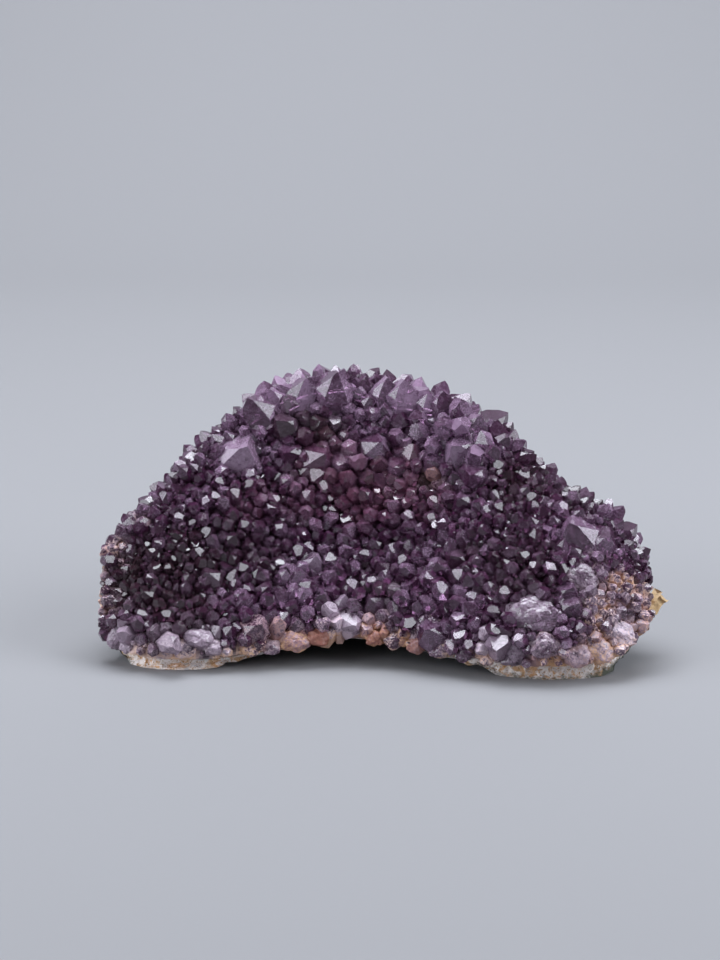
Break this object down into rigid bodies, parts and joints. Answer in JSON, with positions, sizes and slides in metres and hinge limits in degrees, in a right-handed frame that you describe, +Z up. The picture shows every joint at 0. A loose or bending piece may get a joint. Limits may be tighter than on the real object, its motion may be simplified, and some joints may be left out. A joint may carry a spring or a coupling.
{
  "type": "amethyst cluster",
  "caption": "Arched piece of geode wall with a druse of purple quartz points on its front and crest, standing on its broken host rock.",
  "frame": {"origin": "middle of the bounding box's bottom, on the surface that the cluster stands on", "axes": "+Z up, +X to the right along the longest extent, the crystals face -Y"},
  "size_m": [0.2042, 0.113, 0.0965],
  "materials": {
    "amethyst": "clear to smoky purple crystal with glossy flat faces, partly see-through",
    "host_rock": "rough broken rock, dark green-black, with a tan rind next to the crystals"
  },
  "bodies": {
    "root": {"amethyst_druse": "amethyst", "host_rock": "host_rock"}
  },
  "joints": []
}
